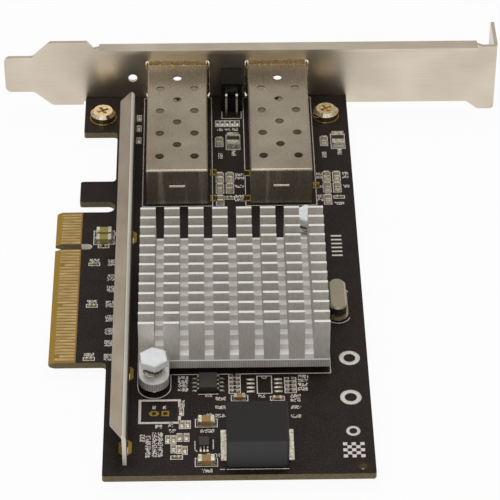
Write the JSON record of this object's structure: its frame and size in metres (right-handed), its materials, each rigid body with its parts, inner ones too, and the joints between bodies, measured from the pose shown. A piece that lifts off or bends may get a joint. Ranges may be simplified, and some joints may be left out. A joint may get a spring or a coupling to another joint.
{
  "type": "network interface card",
  "caption": "Dual-port expansion network card with full-height bracket, finned heat sink on push pins, folded port cages, stiffening bar and a gold contact edge.",
  "frame": {"origin": "middle of the key notch at the contact edge, on the component face of the board", "axes": "+X from the contact edge towards the board's top edge, +Y towards the bracket, +Z out of the component face"},
  "size_m": [0.1198, 0.144, 0.0207],
  "materials": {
    "solder_mask": "satin",
    "hard_gold": "polished",
    "flash_gold": "satin",
    "tin": "satin",
    "bracket_steel": "satin",
    "screw_steel": "polished",
    "cage_sheet": "satin",
    "spring_copper": "satin",
    "connector_black": "matte",
    "lamp_resin": "gloss",
    "mould_compound": "matte",
    "pad_silicone": "matte",
    "sink_aluminium": "satin",
    "natural_nylon": "satin",
    "spring_steel": "polished",
    "bar_steel": "satin",
    "can_nickel": "satin",
    "ferrite": "matte",
    "capacitor_ceramic": "satin",
    "resistor_glaze": "satin",
    "filter_ceramic": "satin"
  },
  "bodies": {
    "root": {"circuit_board": "solder_mask", "edge_contacts": "hard_gold", "gold_lands": "flash_gold", "spare_lands": "tin", "bracket": "bracket_steel", "bracket_screws": "screw_steel", "left_cage_shell": "cage_sheet", "right_cage_shell": "cage_sheet", "left_cage_floor": "cage_sheet", "right_cage_floor": "cage_sheet", "left_spring_band": "spring_copper", "right_spring_band": "spring_copper", "left_host_connector": "connector_black", "right_host_connector": "connector_black", "left_host_contacts": "hard_gold", "right_host_contacts": "hard_gold", "lamp_holder": "connector_black", "port_lamp": "lamp_resin", "lamp_leads": "tin", "network_controller": "mould_compound", "thermal_pad": "pad_silicone", "heat_sink": "sink_aluminium", "push_pins": "natural_nylon", "push_pin_springs": "spring_steel", "stiffening_bar": "bar_steel", "crystal_can": "can_nickel", "crystal_leads": "tin", "power_inductor_core": "ferrite", "power_inductor_strap": "tin", "flash_memory_body": "mould_compound", "flash_memory_leads": "tin", "load_switch_body": "mould_compound", "load_switch_leads": "tin", "large_capacitor_bodies": "capacitor_ceramic", "large_capacitor_ends": "tin", "ceramic_capacitor_bodies": "capacitor_ceramic", "ceramic_capacitor_ends": "tin", "chip_resistor_bodies": "resistor_glaze", "chip_resistor_ends": "tin", "port_filter_bodies": "filter_ceramic", "port_filter_ends": "tin", "port_choke_bodies": "resistor_glaze", "port_choke_ends": "tin"}
  },
  "joints": []
}
